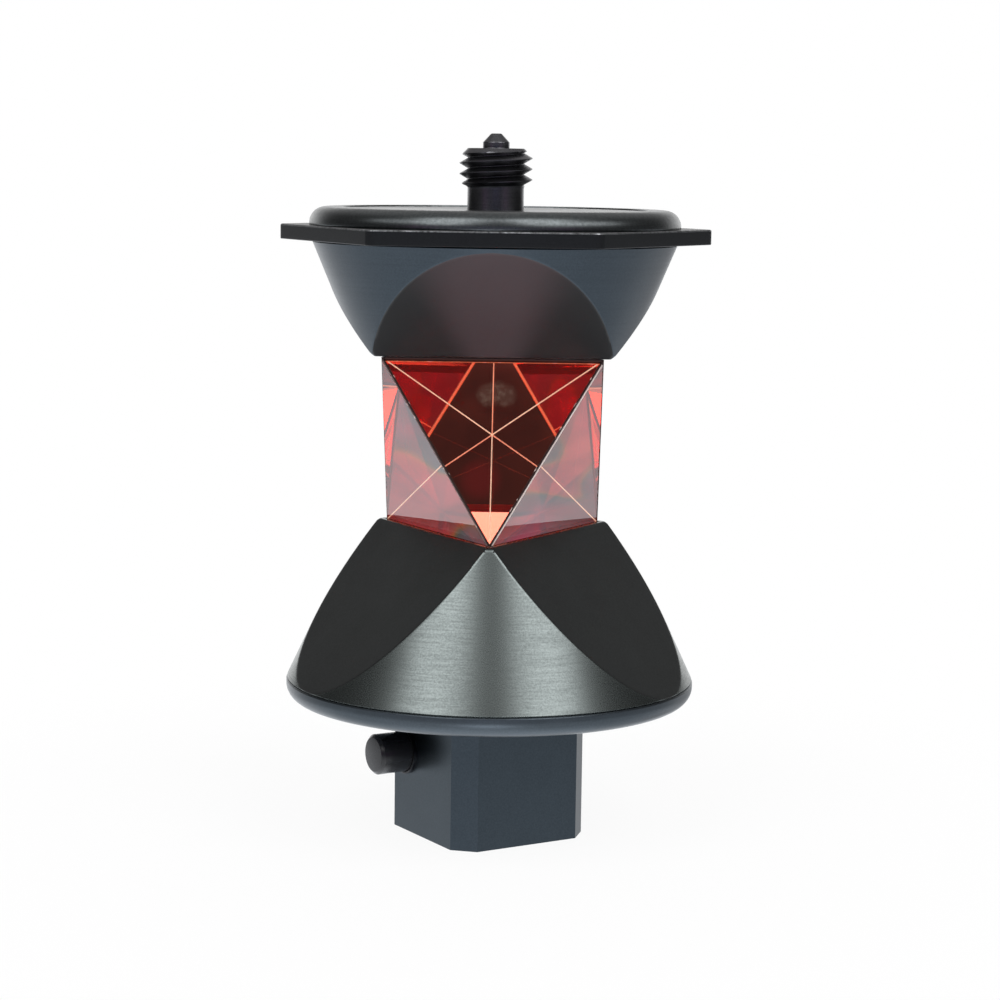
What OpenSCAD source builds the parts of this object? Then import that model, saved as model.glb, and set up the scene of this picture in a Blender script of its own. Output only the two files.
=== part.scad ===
// Omnidirectional surveying prism: six corner-cube prisms closed up into a regular
// octahedron that stands on one of its triangles, held between an upper hood and a
// lower skirt, with a threaded antenna stud above and a snap-on pole socket below.
// Millimetres. Origin: centre of the pole socket's mouth, in the bottom face of the
// square block. +Z runs up the axis to the stud's tip, and -Y is the prism face that
// points straight forward.

/* [Prisms] */
// Edge length of the glass octahedron
prism_edge = 48; // [47.4:0.2:48.6]
// Width of the bonded joint between neighbouring prisms
seam = 0.2; // [0.1:0.05:0.4]
// Height of the octahedron's centre above the bottom face
centre_z = 87.2; // [87:0.1:87.4]

/* [Hood] */
// Radius of the hood's cone at its lower edge
hood_r_low = 29.9; // [29.5:0.1:30.3]
// Radius of the hood's cone at its upper edge
hood_r_top = 39.9; // [39.5:0.1:40.3]
// Distance of the hood's flats from the axis, level with the top of the glass
hood_flat_d = 14.6; // [14.4:0.1:15]
// How far a hood flat runs outward for each millimetre of height
hood_flat_k = 1.065; // [1.04:0.005:1.08]

/* [Skirt] */
// Radius of the skirt's cone at its upper edge
skirt_r_top = 29.8; // [29.4:0.1:30.2]
// Radius of the skirt's cone at its lower edge
skirt_r_low = 45.1; // [44.8:0.1:45.4]
// Distance of the skirt's flats from the axis, level with the bottom of the glass
skirt_flat_d = 15.6; // [15.4:0.1:16]
// How far a skirt flat runs outward for each millimetre of depth
skirt_flat_k = 0.9; // [0.88:0.01:0.92]
// Wall thickness of hood and skirt
wall = 3.5; // [3:0.1:4]

/* [Cap and plate] */
// Width across the corners of the hexagonal plate
plate_corners = 94.2; // [93:0.2:95.4]
// Thickness of the hexagonal plate
plate_t = 3.3; // [3:0.1:3.6]
// Turn of the hexagonal plate against the glass
plate_turn = -2.3; // [-4:0.1:4]
// Radius of the round cap
cap_r = 40.5; // [40:0.1:40.8]
// Thickness of the round cap
cap_t = 3.95; // [3.8:0.05:4.2]

/* [Antenna stud] */
// Outside diameter of the stud's thread
stud_d = 15.875; // [15.6:0.025:16]
// Pitch of the stud's thread
stud_pitch = 2.309; // [2.2:0.001:2.4]
// Radius of the plain neck below the thread
neck_r = 6.15; // [6:0.05:6.2]

/* [Socket] */
// Width of the square block across its flats
block_w = 33.8; // [33.4:0.1:34.4]
// Width of the block's corner chamfers, measured along each face
block_chamfer = 4.3; // [4:0.1:4.3]
// Turn of the block against the glass
block_turn = 31.7; // [28:0.1:34]
// Radius of the pole socket
socket_r = 6.05; // [6.03:0.01:6.08]
// Depth of the pole socket
socket_depth = 30; // [29:0.5:30]

/* [Latch] */
// Height of the release button's axis
latch_z = 18; // [17.8:0.1:18.2]
// Distance of the button's axis from the socket's axis
latch_off = 7.5; // [7.4:0.05:7.5]
// Diameter of the release button
button_d = 9; // [8.8:0.1:9]
// Distance of the button's outer face from the socket's axis
button_out = 25.2; // [24.8:0.1:25.6]
// Stroke of the release button
travel = 3.5; // [3.2:0.1:3.5]

/* [View] */
// The one sub-part to draw, or all of them

/* [Hidden] */
$fn = 96;

half_h = prism_edge * sqrt(2 / 3) / 2;   // centre of the glass to its top triangle
tilt = acos(1 / sqrt(3));                // a cube's edge against its body diagonal
lean = 90 - 2 * asin(sqrt(1 / 3)) ;      // how far a side face leans, 19.47 degrees
gap = seam / 2;

glass_top = centre_z + half_h;
glass_low = centre_z - half_h;

hood_z0 = glass_top + 0.4;
hood_z1 = centre_z + 44.05;
hood_floor = hood_z0 + 11.5;             // bottom of the hood's hollow
skirt_z1 = glass_low - 0.15;
skirt_z0 = centre_z - 52.4;
skirt_roof = skirt_z1 - 11.3;            // top of the skirt's hollow
stem_r = 12;                             // both seats' stems
stem_l = 7.5;

plate_z0 = hood_z1;
plate_z1 = plate_z0 + plate_t;
cap_z0 = plate_z1;
cap_z1 = cap_z0 + cap_t;

base_z1 = skirt_z0;
base_z0 = base_z1 - 4.6;
base_fillet = 3.5;

flange_r = 12;                           // the stud's flange, under the cap
flange_t = 2.2;
thread_z1 = cap_z1 + 12.95;
root_r = stud_d / 2 - 1.7;

cap_screw_r = 25;
base_screw_r = 34;
block_screw_xy = 10.8;

half_w = block_w / 2;
plunger_r = 3;
bush_r = 5.05;
bush_bore = button_d / 2 + 0.06;
bush_in = 7;                             // how deep the bush sits in the block
button_len = 9.6;
pin_x = 8.45;                            // stop pin, along the button's axis

// ---------------------------------------------------------------- helpers

// turns a cube's three edges so that they run to the octahedron's upper triangle
module octa_frame() {
  translate([0, 0, centre_z]) rotate([0, 0, 150]) rotate([0, -tilt, 0]) rotate([0, 0, -45]) children();
}

// a corner cube: apex at the origin, three square faces, open face at height h
module corner_cube(h, g) {
  intersection() {
    rotate([0, -tilt, 0]) rotate([0, 0, -45]) translate([g, g, g]) cube(60);
    translate([-60, -60, 0]) cube([120, 120, h]);
  }
}

// one of the six glass prisms: az is where its face looks, up = 1 if it looks up
module side_prism(az, up) {
  translate([0, 0, centre_z]) rotate([0, 0, az]) rotate([0, 90 - up * lean, 0])
    rotate([0, 0, up > 0 ? 180 : 0]) corner_cube(half_h, gap);
}

// everything outside a flat that leans outward as it rises (s = 1) or falls (s = -1)
module beyond_flat(az, d, k, z, s) {
  rotate([0, 0, az]) translate([d, 0, z]) rotate([0, s * atan(k), 0])
    translate([0, -100, -100]) cube(200);
}

module hood_flats(inset) {
  for (az = [30, 150, 270])
    beyond_flat(az, hood_flat_d - inset * sqrt(1 + hood_flat_k * hood_flat_k), hood_flat_k, glass_top, 1);
}

module skirt_flats(inset) {
  for (az = [90, 210, 330])
    beyond_flat(az, skirt_flat_d - inset * sqrt(1 + skirt_flat_k * skirt_flat_k), skirt_flat_k, glass_low, -1);
}

function hood_r(z) = hood_r_low + (hood_r_top - hood_r_low) * (z - hood_z0) / (hood_z1 - hood_z0);
function skirt_r(z) = skirt_r_low + (skirt_r_top - skirt_r_low) * (z - skirt_z0) / (skirt_z1 - skirt_z0);

// the button's frame: origin on the button's axis beside the socket, -X outward
module latch_frame() {
  rotate([0, 0, block_turn]) translate([0, latch_off, latch_z]) children();
}

// a rod along the button's axis from x0 to x1
module rod(x0, x1, r) {
  translate([x0, 0, 0]) rotate([0, 90, 0]) cylinder(h = x1 - x0, r = r);
}

// an equilateral triangle with one corner at angle a, as far as d from centre to side
module tri(d, a) {
  polygon([for (i = [0:2]) [2 * d * cos(a + 120 * i), 2 * d * sin(a + 120 * i)]]);
}

// a socket head cap screw: underside of the head at z = 0, shank downward
module cap_screw(r, l, head_r, head_h, key) {
  difference() {
    union() {
      translate([0, 0, -l]) cylinder(h = l, r = r);
      cylinder(h = head_h, r = head_r);
    }
    translate([0, 0, head_h / 2]) cylinder(h = head_h, r = key, $fn = 6);
  }
}

// ---------------------------------------------------------------- sub-parts

// turned stud: centring tip, thread, plain neck, flange, long shank. The thread is
// drawn as rings of its own pitch and depth, with narrow cylindrical crests.
module antenna_stud() {
  w = (stud_d / 2 - root_r) * tan(30);
  low = thread_z1 - 1.6 - 2 * stud_pitch;   // middle of the lowest crest
  color([0.13, 0.13, 0.14])
  union() {
    rotate_extrude() polygon(concat(
      [[0, cap_z0 + 1], [neck_r, cap_z0 + 1], [neck_r, low - 0.18 - (stud_d / 2 - neck_r) * tan(30)]],
      [for (i = [0:2]) each [
        [stud_d / 2, low + i * stud_pitch - 0.18],
        [stud_d / 2, low + i * stud_pitch + 0.18],
        if (i < 2) [root_r, low + i * stud_pitch + 0.18 + w],
        if (i < 2) [root_r, low + (i + 1) * stud_pitch - 0.18 - w]]],
      [[root_r, thread_z1], [0, thread_z1]]));
    // centring tip
    translate([0, 0, thread_z1 - 1]) cylinder(h = 2.35, r = 2.9);
    translate([0, 0, thread_z1 + 1.35]) cylinder(h = 1.85, r1 = 2.9, r2 = 1.1);
    translate([0, 0, cap_z0]) cylinder(h = flange_t, r = flange_r);
    translate([0, 0, glass_top - 3.5]) cylinder(h = cap_z0 - glass_top + 4, r = 4);
  }
}

// round cap with a rounded rim, a shallow recess on top, the flange's recess below
module top_cap() {
  color([0.25, 0.26, 0.27])
  difference() {
    union() {
      translate([0, 0, cap_z0]) cylinder(h = 0.5, r1 = cap_r - 0.4, r2 = cap_r);
      translate([0, 0, cap_z0 + 0.5]) cylinder(h = cap_t - 3.5, r = cap_r);
      translate([0, 0, cap_z1 - 3]) rotate_extrude() union() {
        square([cap_r - 3, 3]);
        translate([cap_r - 3, 0]) intersection() { circle(r = 3); square(3); }
      }
    }
    // shallow recess inside the rim
    translate([0, 0, cap_z1 - 0.3]) cylinder(h = 1, r = 33.5);
    translate([0, 0, cap_z0 - 1]) cylinder(h = 8, r = neck_r + 0.1);
    translate([0, 0, cap_z0 - 1]) cylinder(h = flange_t + 1.1, r = flange_r + 0.2);
    for (i = [0:2]) rotate([0, 0, 120 * i + plate_turn + 30])
      translate([cap_screw_r, 0, cap_z0 - 1]) cylinder(h = 3.6, r = 1.5);
  }
}

// three screws that hold the cap to the plate, driven from below
module cap_screws() {
  color([0.55, 0.56, 0.58])
  for (i = [0:2]) rotate([0, 0, 120 * i + plate_turn + 30])
    translate([cap_screw_r, 0, plate_z0]) rotate([180, 0, 0]) cap_screw(1.5, plate_t + 2.4, 2.75, 3, 1.25);
}

// hexagonal bumper plate, its six corners rounded
module hex_plate() {
  color([0.09, 0.09, 0.1])
  difference() {
    intersection() {
      translate([0, 0, plate_z0]) rotate([0, 0, plate_turn]) cylinder(h = plate_t, r = plate_corners / 2 + 0.4, $fn = 6);
      union() {
        translate([0, 0, plate_z0]) cylinder(h = plate_t - 0.5, r = plate_corners / 2);
        translate([0, 0, plate_z1 - 0.5]) cylinder(h = 0.5, r1 = plate_corners / 2, r2 = plate_corners / 2 - 0.5);
      }
      // small bevel along the six upper edges
      translate([0, 0, plate_z1 - 0.4 - 20]) rotate([0, 0, plate_turn]) union() {
        cylinder(h = 20, r = 60, $fn = 6);
        translate([0, 0, 20]) intersection_for(i = [0:5]) rotate([0, 0, 60 * i + 30])
          translate([plate_corners / 2 * cos(30) + 0.36, 0, 0]) rotate([0, -45, 0]) translate([-100, -100, -100]) cube([100, 200, 200]);
      }
    }
    translate([0, 0, plate_z0 - 1]) cylinder(h = plate_t + 2, r = 4.2);
    for (i = [0:2]) rotate([0, 0, 120 * i + plate_turn + 30])
      translate([cap_screw_r, 0, plate_z0 - 1]) cylinder(h = plate_t + 2, r = 1.7);
  }
}

// seal between hood and plate
module hood_o_ring() {
  color([0.05, 0.05, 0.05])
  translate([0, 0, hood_z1 - 0.65]) rotate_extrude() translate([hood_r_top - 2, 0]) circle(r = 0.6, $fn = 32);
}

// cone that opens upward, cut by three slanted flats over the three upward prisms
module upper_hood() {
  color([0.28, 0.31, 0.34])
  difference() {
    rotate_extrude() polygon([
      [0, hood_z0], [hood_r_low - 0.6, hood_z0], [hood_r(hood_z0 + 0.7), hood_z0 + 0.7],
      [hood_r_top - 0.15, hood_z1 - 0.35], [hood_r_top - 0.4, hood_z1], [0, hood_z1]]);
    hood_flats(0);
    // hollow
    difference() {
      rotate_extrude() polygon([
        [10, hood_floor], [hood_r(hood_floor) - wall, hood_floor],
        [hood_r_top - wall + 0.2, hood_z1 + 1], [10, hood_z1 + 1]]);
      hood_flats(wall);
    }
    // pocket for the upper seat's stem, hole for the stud's shank
    translate([0, 0, hood_z0 - 1]) cylinder(h = stem_l + 1, r = stem_r + 0.1);
    translate([0, 0, hood_z0]) cylinder(h = 40, r = 4.2);
    // groove for the seal
    translate([0, 0, hood_z1 - 1.25]) difference() {
      cylinder(h = 2, r = hood_r_top - 1.35);
      translate([0, 0, -1]) cylinder(h = 4, r = hood_r_top - 2.65);
    }
  }
}

// cushion between the glass and the hood
module upper_gasket() {
  color([0.06, 0.06, 0.06])
  translate([0, 0, glass_top]) difference() {
    linear_extrude(hood_z0 - glass_top) tri(half_h / sqrt(2) - 0.5, 90);
    translate([0, 0, -1]) cylinder(h = 3, r = stem_r + 0.1);
  }
}

// upper seat: a three-sided pyramid that fills the octahedron's top, with a stem
module upper_seat() {
  color([0.5, 0.51, 0.52])
  difference() {
    union() {
      translate([0, 0, centre_z]) rotate([0, 0, 150]) corner_cube(half_h, gap);
      translate([0, 0, glass_top - 1]) cylinder(h = hood_z0 + stem_l - glass_top + 1, r = stem_r);
    }
    translate([0, 0, glass_top - 4]) cylinder(h = 40, r = 4);
  }
}

module prism_front() { color([0.85, 0.45, 0.35, 0.5]) side_prism(270, 1); }
module prism_back_right() { color([0.85, 0.45, 0.35, 0.5]) side_prism(30, 1); }
module prism_back_left() { color([0.85, 0.45, 0.35, 0.5]) side_prism(150, 1); }
module prism_right() { color([0.85, 0.5, 0.4, 0.5]) side_prism(330, -1); }
module prism_back() { color([0.85, 0.5, 0.4, 0.5]) side_prism(90, -1); }
module prism_left() { color([0.85, 0.5, 0.4, 0.5]) side_prism(210, -1); }

// dark bond between the prisms: three thin squares that cross at the centre
module prism_bond() {
  e = prism_edge - 0.3;
  color([0.07, 0.06, 0.06])
  octa_frame() {
    rotate([45, 0, 0]) cube([seam, e, e], center = true);
    rotate([0, 45, 0]) cube([e, seam, e], center = true);
    rotate([0, 0, 45]) cube([e, e, seam], center = true);
  }
}

// lower seat: the same pyramid upside down, tapped for its screw
module lower_seat() {
  color([0.5, 0.51, 0.52])
  difference() {
    union() {
      translate([0, 0, centre_z]) rotate([0, 0, 90]) mirror([0, 0, 1]) corner_cube(half_h, gap);
      translate([0, 0, skirt_z1 - stem_l]) cylinder(h = glass_low + 1 - skirt_z1 + stem_l, r = stem_r);
    }
    translate([0, 0, skirt_z1 - stem_l - 1]) cylinder(h = 13, r = 2.5);
  }
}

// cushion between the glass and the skirt
module lower_gasket() {
  color([0.06, 0.06, 0.06])
  translate([0, 0, skirt_z1]) difference() {
    linear_extrude(glass_low - skirt_z1) tri(half_h / sqrt(2) - 0.5, 270);
    translate([0, 0, -1]) cylinder(h = 3, r = stem_r + 0.1);
  }
}

module seat_washer() {
  color([0.6, 0.6, 0.62])
  translate([0, 0, skirt_roof - 1]) difference() {
    cylinder(h = 1, r = 5);
    translate([0, 0, -1]) cylinder(h = 3, r = 2.7);
  }
}

// screw that pulls the lower seat down into the skirt
module seat_screw() {
  color([0.55, 0.56, 0.58])
  translate([0, 0, skirt_roof - 1]) rotate([180, 0, 0]) cap_screw(2.5, 13, 4.25, 5, 2.3);
}

// cone that opens downward, cut by three slanted flats under the downward prisms
module lower_skirt() {
  color([0.38, 0.42, 0.42])
  difference() {
    union() {
      difference() {
        rotate_extrude() polygon([
          [0, skirt_z0], [skirt_r_low - 0.35, skirt_z0], [skirt_r_low, skirt_z0 + 0.35],
          [skirt_r(skirt_z1 - 0.6), skirt_z1 - 0.6], [skirt_r_top - 0.6, skirt_z1], [0, skirt_z1]]);
        difference() {
          rotate_extrude() polygon([
            [0, skirt_z0 - 1], [skirt_r_low - wall + 0.4, skirt_z0 - 1],
            [skirt_r(skirt_roof) - wall, skirt_roof], [0, skirt_roof]]);
          skirt_flats(wall);
        }
      }
      // posts for the base screws, one behind each rounded corner
      for (az = [30, 150, 270]) intersection() {
        rotate([0, 0, az]) translate([base_screw_r, 0, skirt_z0]) cylinder(h = skirt_roof - skirt_z0 + 1, r = 4.5);
        rotate_extrude() polygon([[0, skirt_z0], [skirt_r_low - 1, skirt_z0], [skirt_r_top - 1, skirt_z1], [0, skirt_z1]]);
      }
    }
    skirt_flats(0);
    // pocket for the lower seat's stem, hole for its screw
    translate([0, 0, skirt_z1 - stem_l]) cylinder(h = stem_l + 1, r = stem_r + 0.1);
    translate([0, 0, skirt_z0]) cylinder(h = 60, r = 2.75);
    for (az = [30, 150, 270]) rotate([0, 0, az]) translate([base_screw_r, 0, skirt_z0 - 1]) cylinder(h = 11, r = 2);
  }
}

// seal between skirt and base plate
module skirt_o_ring() {
  color([0.05, 0.05, 0.05])
  translate([0, 0, base_z1 - 0.65]) rotate_extrude() translate([skirt_r_low - 1.95, 0]) circle(r = 0.6, $fn = 32);
}

// round base plate: the smooth rim below the skirt, lower edge rounded
module base_plate() {
  r = skirt_r_low + 0.05;
  color([0.33, 0.35, 0.38])
  difference() {
    union() {
      translate([0, 0, base_z1 - 0.25]) cylinder(h = 0.25, r1 = r, r2 = r - 0.25);
      translate([0, 0, base_z0 + base_fillet]) cylinder(h = base_z1 - 0.25 - base_z0 - base_fillet, r = r);
      translate([0, 0, base_z0 + base_fillet]) rotate_extrude() union() {
        translate([0, -base_fillet]) square([r - base_fillet, base_fillet]);
        translate([r - base_fillet, 0]) intersection() {
          circle(r = base_fillet);
          translate([0, -base_fillet]) square(base_fillet);
        }
      }
    }
    translate([0, 0, base_z0 - 1]) cylinder(h = 4, r = 9.6);
    translate([0, 0, base_z1 - 1.25]) difference() {
      cylinder(h = 2, r = skirt_r_low - 1.3);
      translate([0, 0, -1]) cylinder(h = 4, r = skirt_r_low - 2.6);
    }
    for (az = [30, 150, 270]) rotate([0, 0, az]) translate([base_screw_r, 0, base_z0]) {
      translate([0, 0, -1]) cylinder(h = 10, r = 2.2);
      cylinder(h = 2.1, r1 = 4.2, r2 = 2.1);
    }
    for (x = [-1, 1], y = [-1, 1]) rotate([0, 0, block_turn])
      translate([x * block_screw_xy, y * block_screw_xy, base_z0 - 1]) cylinder(h = 10, r = 2.2);
  }
}

// three countersunk screws from below the base plate into the skirt's posts
module base_screws() {
  color([0.55, 0.56, 0.58])
  for (az = [30, 150, 270]) rotate([0, 0, az]) translate([base_screw_r, 0, base_z0]) difference() {
    union() {
      translate([0, 0, 0.1]) cylinder(h = 2, r1 = 4, r2 = 2);
      translate([0, 0, 1]) cylinder(h = 12.5, r = 2);
    }
    translate([0, 0, -0.1]) cylinder(h = 1.4, r = 1.45, $fn = 6);
  }
}

// four screws that hold the block under the base plate
module block_screws() {
  color([0.55, 0.56, 0.58])
  for (x = [-1, 1], y = [-1, 1]) rotate([0, 0, block_turn])
    translate([x * block_screw_xy, y * block_screw_xy, base_z1]) cap_screw(2, 10.2, 3.5, 4, 1.75);
}

// square block with chamfered corners, the pole socket and the latch's cross bore
module socket_block() {
  c = half_w - block_chamfer;
  color([0.25, 0.28, 0.31])
  difference() {
    union() {
      rotate([0, 0, block_turn]) linear_extrude(base_z0) polygon([
        [c, -half_w], [half_w, -c], [half_w, c], [c, half_w],
        [-c, half_w], [-half_w, c], [-half_w, -c], [-c, -half_w]]);
      translate([0, 0, base_z0 - 1]) cylinder(h = 3.9, r = 9.5);
    }
    // pole socket: lead-in, bore, relief beside the latch
    translate([0, 0, -1]) cylinder(h = socket_depth + 1, r = socket_r);
    translate([0, 0, -0.01]) cylinder(h = 0.8, r1 = socket_r + 0.8, r2 = socket_r);
    translate([0, 0, latch_z - 4]) cylinder(h = 8, r = socket_r + 0.4);
    latch_frame() {
      rod(-half_w - 1, -half_w + bush_in, bush_r);
      rod(-half_w, 14.9, plunger_r + 0.06);
      translate([pin_x, 0, 0]) cylinder(h = 20, r = 1);
    }
    for (x = [-1, 1], y = [-1, 1]) rotate([0, 0, block_turn])
      translate([x * block_screw_xy, y * block_screw_xy, base_z0 - 6.2]) cylinder(h = 10, r = 2);
  }
}

// dowel that rides in the plunger's slot and stops it at both ends of its stroke
module stop_pin() {
  color([0.7, 0.7, 0.72])
  latch_frame() translate([pin_x, 0, 1.7]) cylinder(h = base_z0 - latch_z - 1.7, r = 1);
}

// bush in the block's side: guides the button, its lip shows as a thin ring
module latch_bush() {
  color([0.08, 0.08, 0.09])
  latch_frame() difference() {
    rod(-half_w - 0.8, -half_w + bush_in, bush_r);
    rod(-half_w - 2, -half_w + bush_in - 0.8, bush_bore);
    rod(-half_w, 0, plunger_r + 0.06);
  }
}

// release button: a plain round cap, its outer edge bevelled
module release_button() {
  r = button_d / 2;
  color([0.07, 0.07, 0.08])
  latch_frame() difference() {
    translate([-button_out, 0, 0]) rotate([0, 90, 0]) union() {
      cylinder(h = 0.7, r1 = r - 0.7, r2 = r);
      translate([0, 0, 0.7]) cylinder(h = button_len - 0.7, r = r);
    }
    rod(-button_out + 2.5, 0, plunger_r);
  }
}

// cross plunger: its scallop clears the socket only while the button is pressed
module latch_plunger() {
  color([0.6, 0.61, 0.63])
  difference() {
    latch_frame() difference() {
      union() {
        rod(-button_out + 2.5, 10.5, plunger_r);
        rod(10.5, 11, plunger_r - 0.4);
      }
      // slot for the stop pin
      translate([pin_x - 1.02 - travel, -4, 1.5]) cube([travel + 2.04, 8, 4]);
    }
    rotate([0, 0, block_turn]) translate([-travel, 0, latch_z - 10]) cylinder(h = 20, r = socket_r + 0.25);
  }
}

// return spring between the bush's floor and the button's inner face
module latch_spring() {
  x0 = -button_out + button_len + 0.3;
  x1 = -half_w + bush_in - 0.8 - 0.3;
  turns = 3;
  n = 28;
  m = 8;
  rw = 0.22;
  rc = 3.8;
  total = turns * n;
  pts = [for (i = [0:total], j = [0:m - 1])
    let (a = 360 * i / n, b = 360 * j / m, q = rc + rw * cos(b))
    [x0 + (x1 - x0) * i / total + rw * sin(b), q * cos(a), q * sin(a)]];
  color([0.75, 0.75, 0.77])
  latch_frame() polyhedron(points = pts, faces = concat(
    [for (i = [0:total - 1], j = [0:m - 1]) let (k = (j + 1) % m) [i * m + j, i * m + k, (i + 1) * m + k]],
    [for (i = [0:total - 1], j = [0:m - 1]) let (k = (j + 1) % m) [i * m + j, (i + 1) * m + k, (i + 1) * m + j]],
    [[for (j = [0:m - 1]) m - 1 - j]], [[for (j = [0:m - 1]) total * m + j]]));
}

antenna_stud();
top_cap();
cap_screws();
hex_plate();
hood_o_ring();
upper_hood();
upper_gasket();
upper_seat();
prism_front();
prism_back_right();
prism_back_left();
prism_right();
prism_back();
prism_left();
prism_bond();
lower_seat();
lower_gasket();
seat_washer();
seat_screw();
lower_skirt();
skirt_o_ring();
base_plate();
base_screws();
block_screws();
socket_block();
stop_pin();
latch_bush();
release_button();
latch_plunger();
latch_spring();
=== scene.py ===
import math

import bmesh
import bpy
from mathutils import Matrix, Vector


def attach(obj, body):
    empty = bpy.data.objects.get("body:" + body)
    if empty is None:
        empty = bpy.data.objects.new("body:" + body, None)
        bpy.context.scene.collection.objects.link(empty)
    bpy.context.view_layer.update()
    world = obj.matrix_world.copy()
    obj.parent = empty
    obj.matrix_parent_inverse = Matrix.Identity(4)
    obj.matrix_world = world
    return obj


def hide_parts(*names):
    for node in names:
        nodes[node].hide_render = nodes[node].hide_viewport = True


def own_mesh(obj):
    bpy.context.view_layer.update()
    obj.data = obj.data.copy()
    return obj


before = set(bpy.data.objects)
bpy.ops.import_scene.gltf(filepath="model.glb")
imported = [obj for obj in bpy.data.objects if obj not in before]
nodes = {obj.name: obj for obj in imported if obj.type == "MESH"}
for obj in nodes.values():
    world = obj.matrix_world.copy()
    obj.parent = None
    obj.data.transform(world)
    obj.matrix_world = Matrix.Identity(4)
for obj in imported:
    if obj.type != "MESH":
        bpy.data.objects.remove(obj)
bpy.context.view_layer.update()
MM = 0.001
TAU = 2 * math.pi

# ---------------------------------------------------------------- sizes, in mm, as in the CAD
CENTRE = 87.2
HALF = 48 * math.sqrt(2 / 3) / 2
GLASS_TOP, GLASS_LOW = CENTRE + HALF, CENTRE - HALF
HOOD_Z0, HOOD_Z1 = GLASS_TOP + 0.4, CENTRE + 44.05
SKIRT_Z1, SKIRT_Z0 = GLASS_LOW - 0.15, CENTRE - 52.4
PLATE_Z0, PLATE_Z1 = HOOD_Z1, HOOD_Z1 + 3.3
CAP_Z0, CAP_Z1 = PLATE_Z1, PLATE_Z1 + 3.95
WALL = 3.5
NECK = 6.15


def hood_r(z):
    return 29.9 + 10.0 * (z - HOOD_Z0) / (HOOD_Z1 - HOOD_Z0)


def skirt_r(z):
    return 45.1 + (29.8 - 45.1) * (z - SKIRT_Z0) / (SKIRT_Z1 - SKIRT_Z0)


# ---------------------------------------------------------------- mesh helpers

def finish_mesh(bm, name, slots, body="head", smooth=35.0, even=False):
    """bmesh in mm -> object in metres, smooth between faces that meet at less than the angle.
    even=True weighs the normals by face size, so that large faces next to a rounded edge stay flat."""
    bmesh.ops.remove_doubles(bm, verts=bm.verts, dist=2e-4)
    bmesh.ops.dissolve_degenerate(bm, edges=bm.edges, dist=2e-4)
    bmesh.ops.recalc_face_normals(bm, faces=bm.faces)
    bmesh.ops.scale(bm, vec=(MM, MM, MM), verts=bm.verts)
    for f in bm.faces:
        f.smooth = True
    for e in bm.edges:
        e.smooth = not (e.is_manifold and e.calc_face_angle(0.0) > math.radians(smooth))
    me = bpy.data.meshes.new(name)
    bm.to_mesh(me)
    bm.free()
    o = bpy.data.objects.new(name, me)
    bpy.context.scene.collection.objects.link(o)
    for m in slots:
        me.materials.append(m)
    if even:
        mod = o.modifiers.new("even", "WEIGHTED_NORMAL")
        mod.mode = "FACE_AREA"
        mod.weight = 100
        mod.keep_sharp = True
    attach(o, body)
    return o


def loft(bm, rows, mat=0, closed=True, mats=None):
    """Quads between rows of the same number of points, each row a closed ring."""
    made = [[bm.verts.new(p) for p in row] for row in rows]
    n = len(rows[0])
    pairs = list(zip(range(len(rows)), range(1, len(rows))))
    if closed:
        pairs.append((len(rows) - 1, 0))
    for a, b in pairs:
        for i in range(n):
            j = (i + 1) % n
            f = bm.faces.new((made[a][i], made[a][j], made[b][j], made[b][i]))
            f.material_index = mats(a, i) if mats else mat
    return made


def ring(r, z, phis, x=0.0, y=0.0):
    return [(x + r * math.cos(p), y + r * math.sin(p), z) for p in phis]


def fillet_profile(points, closed=True):
    """(r, z, radius) corners -> polyline with round corners."""
    out = []
    n = len(points)
    for i, (x, z, rad) in enumerate(points):
        if rad <= 0:
            out.append((x, z))
            continue
        p = Vector((x, z))
        a = Vector(points[i - 1][:2]) - p
        b = Vector(points[(i + 1) % n][:2]) - p
        ang = a.angle(b)
        if ang > math.pi - 0.02:
            out.append((x, z))
            continue
        t = min(rad / math.tan(ang / 2), a.length * 0.49, b.length * 0.49)
        rr = t * math.tan(ang / 2)
        a.normalize(); b.normalize()
        c = p + (a + b).normalized() * (rr / math.sin(ang / 2))
        p0, p1 = p + a * t - c, p + b * t - c
        sweep = math.atan2(p0.x * p1.y - p0.y * p1.x, p0.dot(p1))
        steps = max(2, int(abs(sweep) / math.radians(11)) + 1)
        for k in range(steps + 1):
            s = sweep * k / steps
            q = Vector((p0.x * math.cos(s) - p0.y * math.sin(s), p0.x * math.sin(s) + p0.y * math.cos(s))) + c
            out.append((q.x, q.y))
    return out


def revolve(bm, corners, n=160, mat=0, x=0.0, y=0.0):
    phis = [TAU * i / n for i in range(n)]
    return loft(bm, [ring(r, z, phis, x, y) for r, z in fillet_profile(corners)], mat)


def smooth_min(a, b, k):
    h = max(k - abs(a - b), 0.0) / k
    return min(a, b) - h * h * k * 0.25


# ---------------------------------------------------------------- material helpers

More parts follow.
